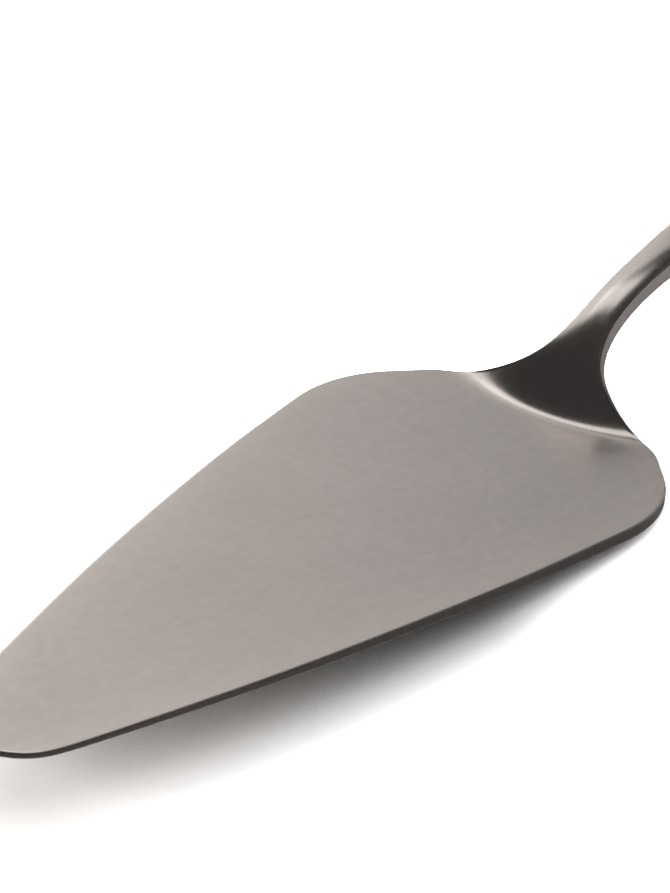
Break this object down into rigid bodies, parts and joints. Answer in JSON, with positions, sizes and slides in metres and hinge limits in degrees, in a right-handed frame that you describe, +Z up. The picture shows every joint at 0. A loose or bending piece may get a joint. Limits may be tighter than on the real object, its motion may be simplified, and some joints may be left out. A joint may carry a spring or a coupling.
{
  "type": "cake server",
  "caption": "Cake server: flat tapered triangular blade with round shoulders, swept neck and slim stem, hollow pressed handle; lies on its heel and handle end",
  "frame": {"origin": "centre of the bounding box's footprint, on the surface that the server lies on", "axes": "+X from the tip of the blade to the end of the handle, +Y across the blade, +Z up; the server lies as put down, on the heel of its blade and the end of its handle, with the tip about 11 mm up"},
  "size_m": [0.2644, 0.0622, 0.0178],
  "materials": {
    "blade_steel": "forged stainless steel, brushed lengthwise, with a softly polished rim",
    "handle_steel": "pressed stainless steel, fine satin polish",
    "core_cement": "cast cement, hidden inside the handle"
  },
  "bodies": {
    "root": {"blade": "blade_steel", "handle_upper_shell": "handle_steel", "handle_lower_shell": "handle_steel", "handle_core": "core_cement"}
  },
  "joints": []
}
